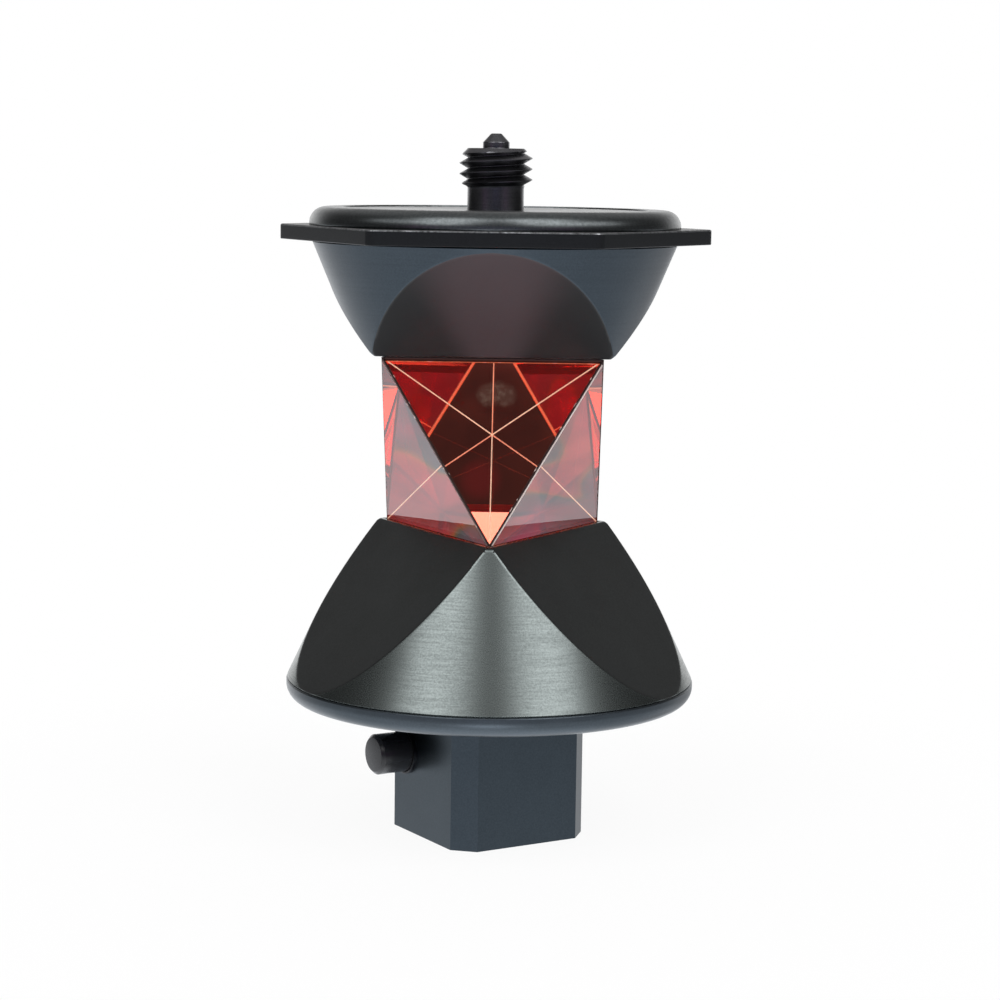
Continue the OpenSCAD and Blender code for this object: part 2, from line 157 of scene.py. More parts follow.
class Nodes:
    def __init__(self, name):
        self.mat = bpy.data.materials.new(name)
        self.mat.use_nodes = True
        self.nt = self.mat.node_tree
        self.nt.nodes.clear()
        self.out = self.nt.nodes.new("ShaderNodeOutputMaterial")
        self.bsdf = self.nt.nodes.new("ShaderNodeBsdfPrincipled")
        self.nt.links.new(self.bsdf.outputs[0], self.out.inputs["Surface"])
        self.pos = self.nt.nodes.new("ShaderNodeTexCoord").outputs["Object"]

    def put(self, socket, value):
        if isinstance(value, bpy.types.NodeSocket):
            self.nt.links.new(value, socket)
        elif value is not None:
            if hasattr(socket.default_value, "__len__") and not hasattr(value, "__len__"):
                value = [value] * len(socket.default_value)
            if hasattr(socket.default_value, "__len__") and len(socket.default_value) == 4 and len(value) == 3:
                value = (*value, 1.0)
            socket.default_value = value

    def set(self, **values):
        for k, v in values.items():
            self.put(self.bsdf.inputs[k.replace("_", " ")], v)
        return self

    def math(self, op, a, b=None, c=None, clamp=False):
        n = self.nt.nodes.new("ShaderNodeMath")
        n.operation = op
        n.use_clamp = clamp
        for s, v in zip(n.inputs, (a, b, c)):
            self.put(s, v)
        return n.outputs[0]

    def vec(self, op, a, b=None):
        n = self.nt.nodes.new("ShaderNodeVectorMath")
        n.operation = op
        self.put(n.inputs[0], a)
        if b is not None:
            self.put(n.inputs[1], b)
        return n.outputs["Value" if op in ("DOT_PRODUCT", "LENGTH", "DISTANCE") else "Vector"]

    def split(self, v):
        n = self.nt.nodes.new("ShaderNodeSeparateXYZ")
        self.put(n.inputs[0], v)
        return n.outputs

    def join(self, x, y, z):
        n = self.nt.nodes.new("ShaderNodeCombineXYZ")
        for s, v in zip(n.inputs, (x, y, z)):
            self.put(s, v)
        return n.outputs[0]

    def noise(self, vector, scale, detail=2.0, rough=0.5, distort=0.0):
        n = self.nt.nodes.new("ShaderNodeTexNoise")
        self.put(n.inputs["Vector"], vector)
        n.inputs["Scale"].default_value = scale
        n.inputs["Detail"].default_value = detail
        n.inputs["Roughness"].default_value = rough
        n.inputs["Distortion"].default_value = distort
        return n.outputs["Fac"]

    def cells(self, vector, scale, feature="F1"):
        n = self.nt.nodes.new("ShaderNodeTexVoronoi")
        n.feature = feature
        self.put(n.inputs["Vector"], vector)
        n.inputs["Scale"].default_value = scale
        return n.outputs["Distance"]

    def map(self, v, a, b, c=0.0, d=1.0, kind="LINEAR"):
        n = self.nt.nodes.new("ShaderNodeMapRange")
        n.interpolation_type = kind
        self.put(n.inputs["Value"], v)
        for s, x in zip(("From Min", "From Max", "To Min", "To Max"), (a, b, c, d)):
            n.inputs[s].default_value = x
        return n.outputs["Result"]

    def mix(self, f, a, b, blend="MIX"):
        n = self.nt.nodes.new("ShaderNodeMix")
        n.data_type = "RGBA"
        n.blend_type = blend
        self.put(n.inputs[0], f)
        self.put(n.inputs[6], a)
        self.put(n.inputs[7], b)
        return n.outputs[2]

    def ramp(self, v, stops):
        n = self.nt.nodes.new("ShaderNodeValToRGB")
        self.put(n.inputs[0], v)
        el = n.color_ramp.elements
        while len(el) < len(stops):
            el.new(0.5)
        for e, (p, c) in zip(el, stops):
            e.position = p
            e.color = (*c, 1.0)
        return n.outputs[0]

    def bump(self, height, distance, strength=1.0):
        n = self.nt.nodes.new("ShaderNodeBump")
        n.inputs["Strength"].default_value = strength
        n.inputs["Distance"].default_value = distance
        self.put(n.inputs["Height"], height)
        return n.outputs[0]

    def normal(self):
        return self.nt.nodes.new("ShaderNodeNewGeometry").outputs["True Normal"]

    def round_about(self, spread, along):
        """Coordinates for turning marks: slow round the Z axis, fast along it."""
        s = self.split(self.pos)
        flat = self.join(s[0], s[1], 0.0)
        n = self.vec("NORMALIZE", flat)
        q = self.split(n)
        return self.join(self.math("MULTIPLY", q[0], spread), self.math("MULTIPLY", q[1], spread),
                         self.math("MULTIPLY", s[2], along))


def times(c, k):
    return tuple(min(1.0, x * k) for x in c)


def metal(name, colour, rough, grain=0.25, lines=0.0, scale=2600.0, aniso=0.0, mottle=0.12, bump=0.000004, metallic=1.0,
          spread=1.2, along=1900.0):
    """Satin anodised or machined metal: fine grain, slow mottling, optional turning marks round Z."""
    m = Nodes(name)
    fine = m.noise(m.pos, scale, 3.0, 0.6)
    slow = m.noise(m.pos, 55.0, 3.0, 0.55)
    shade = m.math("ADD", m.map(fine, 0.3, 0.7, -grain, grain), m.map(slow, 0.3, 0.7, -mottle, mottle))
    height = fine
    if lines:
        marks = m.noise(m.round_about(spread, along), 1.0, 3.0, 0.65)
        shade = m.math("ADD", shade, m.map(marks, 0.3, 0.7, -lines, lines))
        height = m.math("ADD", m.math("MULTIPLY", fine, 0.4), marks)
    t = m.math("ADD", m.math("MULTIPLY", shade, 0.5), 0.5, clamp=True)
    m.set(Base_Color=m.mix(t, times(colour, 0.55), times(colour, 1.45)), Metallic=metallic,
          Roughness=m.map(t, 0.0, 1.0, rough + 0.07, rough - 0.07), Normal=m.bump(height, bump))
    if aniso:
        m.bsdf.inputs["Anisotropic"].default_value = aniso
        tan = m.nt.nodes.new("ShaderNodeTangent")
        tan.direction_type = "RADIAL"
        tan.axis = "Z"
        m.nt.links.new(tan.outputs[0], m.bsdf.inputs["Tangent"])
    return m


def rubber(name, colour=(0.02, 0.02, 0.021)):
    m = Nodes(name)
    g = m.noise(m.pos, 3000.0, 3.0, 0.6)
    m.set(Base_Color=m.mix(g, times(colour, 0.6), times(colour, 1.6)), Roughness=m.map(g, 0.0, 1.0, 0.65, 0.85),
          Normal=m.bump(g, 0.000012))
    return m.mat


# ---------------------------------------------------------------- materials

BLUE = (0.040, 0.050, 0.060)
CHARCOAL = (0.012, 0.012, 0.012)

m_stud = metal("stud_black_oxide", (0.11, 0.11, 0.118), 0.32, grain=0.3, lines=0.25).mat
m_cap = metal("cap_satin_grey", (0.098, 0.107, 0.110), 0.31, grain=0.45, scale=1500.0, mottle=0.3).mat
m_plate = metal("plate_matte_black", (0.0085, 0.0092, 0.0102), 0.34, grain=0.35, mottle=0.15, metallic=0.0)
m_plate.set(Specular_IOR_Level=0.14)
m_plate = m_plate.mat
# the plate's top rounded edge: patches of lighter, shinier bare metal, part wear and part painted highlight that gives
# the edge its light line
m_plate_edge = Nodes("plate_edge_wear_and_highlight")
g = m_plate_edge.noise(m_plate_edge.pos, 900.0, 3.0, 0.65)
k = m_plate_edge.noise(m_plate_edge.pos, 70.0, 2.0, 0.5)
t = m_plate_edge.math("MULTIPLY", m_plate_edge.map(g, 0.38, 0.66), m_plate_edge.map(k, 0.36, 0.60, 0.25, 1.0))
m_plate_edge.set(Base_Color=m_plate_edge.mix(t, (0.012, 0.013, 0.014), (0.34, 0.35, 0.36)), Metallic=m_plate_edge.map(t, 0.1, 0.5),
                 Roughness=m_plate_edge.map(g, 0.3, 0.7, 0.42, 0.30), Normal=m_plate_edge.bump(g, 0.000006))
m_plate_edge = m_plate_edge.mat
m_hood = metal("hood_anodised", BLUE, 0.36, grain=0.2, lines=0.10, mottle=0.08).mat
m_base = metal("base_anodised", (0.055, 0.066, 0.076), 0.33, grain=0.2, lines=0.10, mottle=0.1).mat
m_block = metal("block_anodised", (0.054, 0.068, 0.080), 0.30, grain=0.22, mottle=0.1).mat
m_skirt = metal("skirt_turned", (0.126, 0.142, 0.140), 0.27, grain=0.35, lines=0.3, aniso=0.5, bump=0.000002, spread=6.0, along=2600.0).mat
m_seat = metal("seat_machined", (0.48, 0.49, 0.50), 0.32, grain=0.15, lines=0.3, aniso=0.4).mat
m_steel = metal("fastener_zinc", (0.52, 0.53, 0.55), 0.28, grain=0.2).mat
m_ground = metal("latch_ground_steel", (0.55, 0.56, 0.58), 0.20, grain=0.15).mat
m_wire = metal("spring_wire", (0.58, 0.58, 0.60), 0.22, grain=0.15).mat
m_bush = metal("bush_black", (0.030, 0.030, 0.033), 0.32, grain=0.25).mat
m_rubber = rubber("seal_black_rubber")
m_bond = rubber("bond_dark", (0.030, 0.012, 0.010))


def flat_black(name, colour, rough):
    """Matte black milled flat."""
    m = Nodes(name)
    fine = m.noise(m.pos, 2200.0, 3.0, 0.6)
    slow = m.noise(m.pos, 70.0, 3.0, 0.5)
    t = m.math("ADD", m.map(fine, 0.3, 0.7, -0.25, 0.25), m.map(slow, 0.3, 0.7, 0.3, 0.7), clamp=True)
    m.set(Base_Color=m.mix(t, times(colour, 0.6), times(colour, 1.5)), Roughness=m.map(t, 0.0, 1.0, rough + 0.08, rough - 0.06),
          Specular_IOR_Level=0.35, Normal=m.bump(fine, 0.000005))
    return m


m_skirt_flat = flat_black("skirt_flat_matte", (0.0060, 0.0074, 0.0073), 0.46).mat
m_hood_flat = flat_black("hood_flat_matte", (0.0060, 0.0052, 0.0050), 0.42)
q = m_hood_flat.split(m_hood_flat.vec("NORMALIZE", m_hood_flat.vec("MULTIPLY", m_hood_flat.pos, (1.0, 1.0, 0.0))))
# 1 in the middle of each of the three flats, which lie at -90, 30 and 150 degrees; there a reddish painted glow fades
# in, a painted reflection of the red prism light
third = m_hood_flat.math("SUBTRACT", m_hood_flat.math("MULTIPLY", q[1], 3.0),
                         m_hood_flat.math("MULTIPLY", m_hood_flat.math("MULTIPLY", q[1], 4.0), m_hood_flat.math("MULTIPLY", q[1], q[1])))
glow = m_hood_flat.map(third, -0.1, 0.95, 0.0, 1.0, "SMOOTHSTEP")
painted_red_glow = m_hood_flat.mix(m_hood_flat.noise(m_hood_flat.pos, 60.0, 3.0, 0.5), (0.034, 0.021, 0.023), (0.049, 0.032, 0.035))
m_hood_flat.set(Base_Color=m_hood_flat.mix(glow, (0.0055, 0.0052, 0.0056), painted_red_glow))
m_hood_flat = m_hood_flat.mat


def button_black():
    m = Nodes("button_gloss_black")
    fine = m.noise(m.pos, 2600.0, 3.0, 0.6)
    slow = m.noise(m.pos, 160.0, 2.0, 0.5)
    m.set(Base_Color=m.mix(slow, (0.010, 0.010, 0.011), (0.017, 0.017, 0.019)), Roughness=m.map(slow, 0.3, 0.7, 0.24, 0.30),
          Specular_IOR_Level=0.4, Normal=m.bump(fine, 0.0000008))
    return m.mat


m_button = button_black()


def glass_front():
    """Polished optical glass."""
    m = Nodes("prism_glass_polished")
    g = m.noise(m.pos, 120.0, 2.0, 0.5)
    m.set(Base_Color=m.mix(g, (1.0, 0.985, 0.975), (0.985, 0.975, 0.97)), Roughness=0.0, IOR=1.517, Transmission_Weight=1.0)
    m.set(Coat_Weight=0.25, Coat_Roughness=0.0, Coat_IOR=1.6)
    return m.mat


def copper_back(name, low, high):
    """Copper coat, seen through the glass."""
    m = Nodes(name)
    slow = m.noise(m.pos, 90.0, 3.0, 0.55)
    m.set(Base_Color=m.mix(slow, low, high), Metallic=1.0, Roughness=m.map(slow, 0.3, 0.7, 0.0, 0.008))
    return m.mat


def ground_edge(name, colour, inside=None, glow=0.0, outside_painted_glow=(0.0, 0.0, 0.0)):
    """Fine-ground chamfer of a glass edge. Seen from inside the glass it takes the paler inside colour, painted light,
    and glows with it by a painted emission of strength glow; the outside can glow with a painted colour as well.
    """
    m = Nodes(name)
    g = m.noise(m.pos, 2500.0, 3.0, 0.7)
    chips = m.noise(m.pos, 620.0, 2.0, 0.6)
    t = m.math("MULTIPLY", g, m.map(chips, 0.35, 0.65, 0.6, 1.2))
    c = m.mix(t, times(colour, 0.75), times(colour, 1.25))
    c = m.mix(m.map(chips, 0.625, 0.66), c, (0.80, 0.64, 0.57))
    # painted light: back faces, seen from inside the glass, take the brighter inside colour and emit it, a painted
    # glow; front faces emit the outside colour, a painted glow too
    if inside:
        back = m.nt.nodes.new("ShaderNodeNewGeometry").outputs["Backfacing"]
        lit = m.mix(t, times(inside, 0.8), times(inside, 1.15))
        c = m.mix(back, c, lit)
        m.set(Emission_Color=m.mix(back, m.mix(t, (0.0, 0.0, 0.0), outside_painted_glow), lit), Emission_Strength=glow)
    m.set(Base_Color=c, Roughness=0.55, Normal=m.bump(g, 0.00002))
    return m.mat


m_glass = glass_front()
m_copper = copper_back("prism_copper_coat", (0.94, 0.505, 0.43), (0.97, 0.555, 0.475))
m_copper_low = copper_back("prism_copper_coat_low", (0.93, 0.46, 0.37), (0.97, 0.51, 0.41))
# the star's pale lines are the inner chamfers: paler from inside the glass and glowing by a painted emission
m_edge_in = ground_edge("prism_inner_chamfer", (0.62, 0.42, 0.34), (1.0, 0.60, 0.42), 0.55)
# dark outside, where the dark bond line shows; from inside the glass paler and glowing, painted light
m_rim_dark = ground_edge("prism_rim_dark_painted_glow", (0.05, 0.022, 0.018), (1.0, 0.56, 0.36), 0.7)
# the same ground rim as a lit copy and a darker copy that is painted shade, both paler and glowing from inside the
# glass, painted light
m_rim_light = ground_edge("prism_rim_ground", (0.90, 0.72, 0.66), (0.95, 0.66, 0.56), 0.5)
m_rim_painted_shade = ground_edge("prism_rim_painted_half_shade", (0.22, 0.15, 0.14), (0.95, 0.66, 0.56), 0.5)
# level rim: painted shade inside, dark red where the hood's lip blocks the light, and a painted orange glow outside
m_rim_level = ground_edge("prism_rim_level", (0.55, 0.22, 0.11), (0.26, 0.022, 0.016), 0.15, (6.0, 0.95, 0.45))

# ---------------------------------------------------------------- glass prisms

PRISMS = ["prism_front", "prism_back_right", "prism_back_left", "prism_right", "prism_back", "prism_left"]
MIDDLE = Vector((0, 0, CENTRE))


def cut(bm, n, d, mat):
    """Keeps what lies below the plane n.x = d and closes the cut."""
    got = bmesh.ops.bisect_plane(bm, geom=bm.verts[:] + bm.edges[:] + bm.faces[:], plane_co=n * d, plane_no=n,
                                 clear_outer=True, dist=1e-6)
    edges = [g for g in got["geom_cut"] if isinstance(g, bmesh.types.BMEdge)]
    if edges:
        made = bmesh.ops.contextual_create(bm, geom=edges)
        for f in made["faces"]:
            f.material_index = mat


def prism(node, rim, coat):
    co = []
    for v in nodes[node].data.vertices:
        p = Vector(v.co) / MM
        if all((p - q).length > 0.01 for q in co):
            co.append(p)
    co.sort(key=lambda p: (p - MIDDLE).length)
    mid = sum(co, Vector()) / 4
    tris = ((1, 2, 3), (0, 1, 2), (0, 2, 3), (0, 3, 1))

    def outward(t):
        p, q, r = (co[i] for i in t)
        n = (q - p).cross(r - p).normalized()
        return n if n.dot(p - mid) > 0 else -n

    ways = [outward(t) for t in tris]
    # the back faces keep clear of the bond by a hundredth of a millimetre
    moved = [co[0] - (ways[1] + ways[2] + ways[3]) * 0.012]
    for k, p in enumerate(co[1:], 1):
        across = [w for w, t in zip(ways[1:], tris[1:]) if k in t]
        rowsm = Matrix((ways[0], across[0], across[1]))
        moved.append(rowsm.inverted() @ Vector((ways[0].dot(p), across[0].dot(p) - 0.012, across[1].dot(p) - 0.012)))
    co = moved
    apex, a, b, c = co
    bm = bmesh.new()
    vs = [bm.verts.new(p) for p in co]
    for t, m in zip(tris, (0, 1, 1, 1)):
        bm.faces.new([vs[i] for i in t]).material_index = m
    bmesh.ops.recalc_face_normals(bm, faces=bm.faces)

    def chamfer(n1, n2, on, width, mat):
        inside = math.pi - n1.angle(n2)
        n = (n1 + n2).normalized()
        cut(bm, n, n.dot(on) - width / 2 / math.tan(inside / 2), mat)

    def is_level(t):
        return abs(co[[i for i in t if i][0]].z - co[[i for i in t if i][1]].z) < 1.0

    for k in range(1, 4):
        for j in range(k + 1, 4):
            chamfer(ways[k], ways[j], apex, INNER_CHAMFER, 2)
    for n, t in zip(ways[1:], tris[1:]):
        on = co[[i for i in t if i][0]]
        if is_level(t):
            chamfer(ways[0], n, on, SIDE_LEVEL_CHAMFER if node in RIMS else LEVEL_CHAMFER, 4)
        else:
            chamfer(ways[0], n, on, 0.52 if rim is m_rim_light else OUTER_CHAMFER, 3)
    for p in (a, b, c):
        n = (p - mid).normalized()
        cut(bm, n, n.dot(p) - 0.55, 3)
    return finish_mesh(bm, "glass_" + node, [m_glass, coat, m_edge_in, rim, m_rim_level], smooth=0.5)


INNER_CHAMFER, OUTER_CHAMFER, LEVEL_CHAMFER, SIDE_LEVEL_CHAMFER = 0.25, 0.30, 0.84, 0.40
# the left prism's rims take the darker painted-shade copy, the right and back prisms' rims the lit copy
RIMS = {"prism_right": m_rim_light, "prism_back": m_rim_light, "prism_left": m_rim_painted_shade}
for name in PRISMS:
    o = prism(name, RIMS.get(name, m_rim_dark), m_copper_low if name in RIMS else m_copper)
    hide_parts(name)

# ---------------------------------------------------------------- hood and skirt

NF, NC = 28, 22   # columns across a flat and across half of a cone strip


def columns(cone, flat, first):
    """Azimuths and radii of one level of a cone cut by three flats; columns follow the edges."""
    ratio = min(1.0, flat / cone)
    open_ = min(math.radians(60.0), math.acos(ratio) if ratio < 1 else 0.0)
    half = math.radians(60.0)
    local = []
    e = 0.35 / cone
    inner = max(open_ - 3 * e, open_ * 0.8)
    local += [inner * s / NF for s in range(NF + 1)]
    for f in (-0.55, -0.28, 0.0, 0.28, 0.55):
        local.append(open_ + f * 3 * e * (1 if f < 0 and open_ > 3 * e or f > 0 and half - open_ > 3 * e else 0.0))
    outer = min(open_ + 3 * e, open_ + (half - open_) * 0.5)
    local += [outer + (half - outer) * s / NC for s in range(NC)]
    local = sorted(local)
    out = []
    for k in range(3):
        az = math.radians(first + 120 * k)
        side = [-p for p in reversed(local[1:])] + local
        side.append(half)
        for p in side:
            here = flat / math.cos(p)
            other = flat / max(1e-6, math.cos(math.radians(120) - abs(p)))
            r = smooth_min(smooth_min(here, other, 0.3), cone, 0.26)
            out.append((az + p, r))
    return out


def level(cone, flat, first, z, inset=0.0):
    return [((r - inset) * math.cos(p), (r - inset) * math.sin(p), z) for p, r in columns(cone, flat, first)]


def plain(r, z, like):
    return [(r * math.cos(math.atan2(y, x)), r * math.sin(math.atan2(y, x)), z) for x, y, _ in like]


def cut_cone(zs, cone, d, first, rows_before, rows_after, slots, name, extra=None):
    """Closed shell whose outer wall is a cone cut by three flats; the flats take the second material."""
    rows = list(rows_before)
    skip = len(rows)
    marks = []
    for z in zs:
        cols = columns(cone(z), d(z), first)
        rows.append([(r * math.cos(p), r * math.sin(p), z) for p, r in cols])
        open_ = math.degrees(math.acos(min(1.0, d(z) / cone(z))))
        here = []
        for i in range(len(cols)):
            p = (math.degrees(cols[i][0]) - first) % 120
            q = (math.degrees(cols[(i + 1) % len(cols)][0]) - first) % 120
            mid = (p + q) / 2 if abs(p - q) < 60 else 0.0
            mid = min(mid, 120 - mid)
            here.append(1 if mid < open_ else 0)
        marks.append(here)
    rows += rows_after
    bm = bmesh.new()
    loft(bm, rows, mats=lambda a, i: marks[a - skip][i] if skip <= a < skip + len(zs) else 0)
    if extra:
        extra(bm)
    return finish_mesh(bm, name, slots, smooth=30)


def hood():
    d = lambda z: 14.6 + 1.065 * (z - GLASS_TOP)
    k = math.sqrt(1 + 1.065 ** 2)
    lip = GLASS_TOP + 0.12
    zs = [lip + 0.10 + (HOOD_Z1 - 0.35 - lip - 0.10) * i / 64 for i in range(65)]
    cone = lambda z: min(hood_r(z), 29.2 + 0.89 * (z - lip) / 0.7)
    before = [level(28.1, 14.2, 30, HOOD_Z0), level(28.1, 14.2, 30, lip), level(cone(lip), d(lip), 30, lip, 0.08)]
    after = [level(39.5, 60.0, 30, HOOD_Z1)]
    last = after[-1]
    for r, z in ((38.55, HOOD_Z1), (38.55, HOOD_Z1 - 1.25), (37.25, HOOD_Z1 - 1.25), (37.25, HOOD_Z1), (36.6, HOOD_Z1)):
        after.append(plain(r, z, last))
    floor = HOOD_Z0 + 11.5
    for i in range(1, 13):
        z = HOOD_Z1 + (floor - HOOD_Z1) * i / 12
        after.append(level(hood_r(z) - WALL + 0.2 * (z - floor) / (HOOD_Z1 - floor), max(10.5, d(z) - WALL * k), 30, z))
    last = after[-1]
    for r, z in ((10, floor), (10, HOOD_Z1), (4.2, HOOD_Z1), (4.2, HOOD_Z0 + 7.5), (12.1, HOOD_Z0 + 7.5), (12.1, HOOD_Z0)):
        after.append(plain(r, z, last))
    return cut_cone(zs, cone, d, 30, before, after, [m_hood, m_hood_flat], "hood_shell")


def skirt():
    d = lambda z: 15.6 + 0.9 * (GLASS_LOW - z)
    k = math.sqrt(1 + 0.9 ** 2)
    lip = SKIRT_Z1 + 0.62
    zs = [lip - 0.10 + (SKIRT_Z0 + 0.35 - lip + 0.10) * i / 72 for i in range(73)]
    cone = lambda z: min(skirt_r(z), 29.0 + 0.88 * (lip - z) / 0.6)
    before = [level(28.1, 14.3, 90, SKIRT_Z1), level(28.1, 14.3, 90, lip), level(cone(lip), d(lip), 90, lip, 0.08)]
    after = [level(44.75, 60.0, 90, SKIRT_Z0)]
    roof = SKIRT_Z1 - 11.3
    for i in range(0, 17):
        z = SKIRT_Z0 + (roof - SKIRT_Z0) * i / 16
        after.append(level(skirt_r(z) - WALL + 0.4 * (roof - z) / (roof - SKIRT_Z0), max(8.0, d(z) - WALL * k), 90, z))
    last = after[-1]
    for r, z in ((2.75, roof), (2.75, SKIRT_Z1 - 7.5), (12.1, SKIRT_Z1 - 7.5), (12.1, SKIRT_Z1)):
        after.append(plain(r, z, last))

    def bosses(bm):
        for az in (30, 150, 270):
            x, y = 34 * math.cos(math.radians(az)), 34 * math.sin(math.radians(az))
            revolve(bm, [(2.0, SKIRT_Z0, 0), (4.5, SKIRT_Z0, 0), (4.5, 47.0, 0), (2.0, 47.0, 0)], n=32, x=x, y=y)

    return cut_cone(zs, cone, d, 90, before, after, [m_skirt, m_skirt_flat], "skirt_shell", bosses)


o = hood()
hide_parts("upper_hood")
o = skirt()
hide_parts("lower_skirt")

# ---------------------------------------------------------------- plate and cap


def plate():
    R, rho = 47.5, 2.6
    pts = []
    for k in range(6):
        a = math.radians(60 * k - 2.3)
        c = Vector((R - rho / math.cos(math.radians(30)), 0)).to_3d()
        for s in range(-6, 7):
            p = math.radians(5 * s)
            q = Vector((c.x + rho * math.cos(p), rho * math.sin(p), 0))
            pts.append(Matrix.Rotation(a, 3, "Z") @ q)
        nxt = math.radians(60 * (k + 1) - 2.3)
        e0 = pts[-1]
        e1 = Matrix.Rotation(nxt, 3, "Z") @ Vector((c.x + rho * math.cos(math.radians(-30)), rho * math.sin(math.radians(-30)), 0))
        for s in range(1, 12):
            pts.append(e0.lerp(e1, s / 12))

    def outline(inset, z):
        out = []
        n = len(pts)
        for i, p in enumerate(pts):
            t = (pts[(i + 1) % n] - pts[i - 1]).normalized()
            out.append((p.x - t.y * inset, p.y + t.x * inset, z))
        return out

    def circle(r, z):
        return [(r * math.cos(math.atan2(p.y, p.x)), r * math.sin(math.atan2(p.y, p.x)), z) for p in pts]

    rows = [circle(4.2, PLATE_Z0), circle(30, PLATE_Z0), outline(0.22, PLATE_Z0)]
    for s in range(0, 4):
        a = math.radians(30 * s)
        rows.append(outline(0.2 - 0.2 * math.sin(a), PLATE_Z0 + 0.2 - 0.2 * math.cos(a)))
    for s in range(0, 5):
        a = math.radians(22.5 * s)
        rows.append(outline(0.38 - 0.38 * math.cos(a), PLATE_Z1 - 0.38 + 0.38 * math.sin(a)))
    # only the upper rounded edge takes this finish, part wear and part painted highlight
    edge = range(len(rows) - 5, len(rows))
    rows += [circle(30, PLATE_Z1), circle(4.2, PLATE_Z1)]
    bm = bmesh.new()
    loft(bm, rows, mats=lambda a, i: 1 if a in edge and a + 1 in edge else 0)
    return finish_mesh(bm, "corner_plate", [m_plate, m_plate_edge], smooth=40, even=True)


o = plate()
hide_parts("hex_plate")

bm = bmesh.new()
bull = [(37.0 + 3.5 * math.cos(math.radians(6 * k)), CAP_Z1 - 3.5 + 3.5 * math.sin(math.radians(6 * k)), 0) for k in range(16)]
revolve(bm, [(12.2, CAP_Z0, 0), (40.42, CAP_Z0, 0), (40.5, CAP_Z0 + 0.12, 0), *bull, (33.5, CAP_Z1, 0.12),
             (33.4, CAP_Z1 - 0.3, 0.12), (NECK + 0.1, CAP_Z1 - 0.3, 0.2), (NECK + 0.1, CAP_Z0 + 2.3, 0), (12.2, CAP_Z0 + 2.3, 0)], n=224)
o = finish_mesh(bm, "cap_disc", [m_cap])
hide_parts("top_cap")

# ---------------------------------------------------------------- stud with its right-hand thread


def stud():
    top = CAP_Z1 + 12.95
    pitch, crest, root = 2.309, 7.9375, NECK
    low = CAP_Z1 + 3.2
    flank = (crest - root) * math.tan(math.radians(30))
    first = top - 2.08           # crest on the +X side nearest the top
    n = 144
    prof = [(-pitch / 2, 0.0)]
    for s in range(7):
        prof.append((-0.08 - flank + flank * s / 6, s / 6))
    for s in range(7):
        prof.append((0.08 + flank * s / 6, 1 - s / 6))
    turns = range(-6, 4)
    per = len(prof)
    cols = []
    for i in range(n + 1):
        col = []
        for k in turns:
            for u, h in prof:
                z = first + pitch * (k + i / n) + u
                deep = top - z
                fade = min(1.0, max(0.0, (8.55 - deep) / 1.3))
                r = root + (crest - root) * h * (fade * fade * (3 - 2 * fade))
                r = min(r, NECK + max(0.0, top - z) * 1.0 + 0.0)
                col.append((r, min(max(z, low), top)))
        cols.append(col)
    bm = bmesh.new()
    grid = []
    for i in range(n):
        a = TAU * i / n
        grid.append([bm.verts.new((r * math.cos(a), r * math.sin(a), z)) for r, z in cols[i]])
    m = len(cols[0])
    for i in range(n):
        nxt, shift = (grid[i + 1], 0) if i + 1 < n else (grid[0], per)
        for j in range(m - 1):
            p, q = j + shift, j + 1 + shift
            if q >= m:
                continue
            if grid[i][j].co.z >= top and grid[i][j + 1].co.z >= top and nxt[p].co.z >= top and nxt[q].co.z >= top:
                continue
            if grid[i][j + 1].co.z <= low and nxt[q].co.z <= low and grid[i][j].co.z <= low and nxt[p].co.z <= low:
                continue
            bm.faces.new((grid[i][j], nxt[p], nxt[q], grid[i][j + 1]))
    bmesh.ops.remove_doubles(bm, verts=bm.verts, dist=1e-4)
    loose = [v for v in bm.verts if not v.link_faces]
    bmesh.ops.delete(bm, geom=loose, context="VERTS")
    # rest of the stud, above and below the threaded stretch
    phis = [TAU * i / n for i in range(n)]
    up = [(NECK, top), (4.0, top + 0.02), (2.95, top + 0.02), (2.9, top + 0.1), (2.9, top + 0.16), (2.9, top + 1.2), (2.9, top + 1.25), (2.82, top + 1.38),
          (2.77, top + 1.43), (1.25, top + 3.05), (1.2, top + 3.1), (1.0, top + 3.2), (0.4, top + 3.2)]
    loft(bm, [ring(r, z, phis) for r, z in up], closed=False)
    tip = bm.verts.new((0, 0, top + 3.2))
    edge = ring(0.4, top + 3.2, phis)
    vs = [bm.verts.new(p) for p in edge]
    for i in range(n):
        bm.faces.new((vs[i], vs[(i + 1) % n], tip))
    down = [(NECK, low), (NECK, CAP_Z0 + 2.2), (11.8, CAP_Z0 + 2.2), (12, CAP_Z0 + 2.0), (12, CAP_Z0), (4, CAP_Z0),
            (4, 104.0), (3.5, 103.3), (0.4, 103.3)]
    loft(bm, [ring(r, z, phis) for r, z in down], closed=False)
    tip = bm.verts.new((0, 0, 103.3))
    vs = [bm.verts.new(p) for p in ring(0.4, 103.3, phis)]
    for i in range(n):
        bm.faces.new((vs[i], vs[(i + 1) % n], tip))
    return finish_mesh(bm, "stud_body", [m_stud], smooth=38)


o = stud()
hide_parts("antenna_stud")

# ---------------------------------------------------------------- pieces that keep the CAD's shape, their edges broken


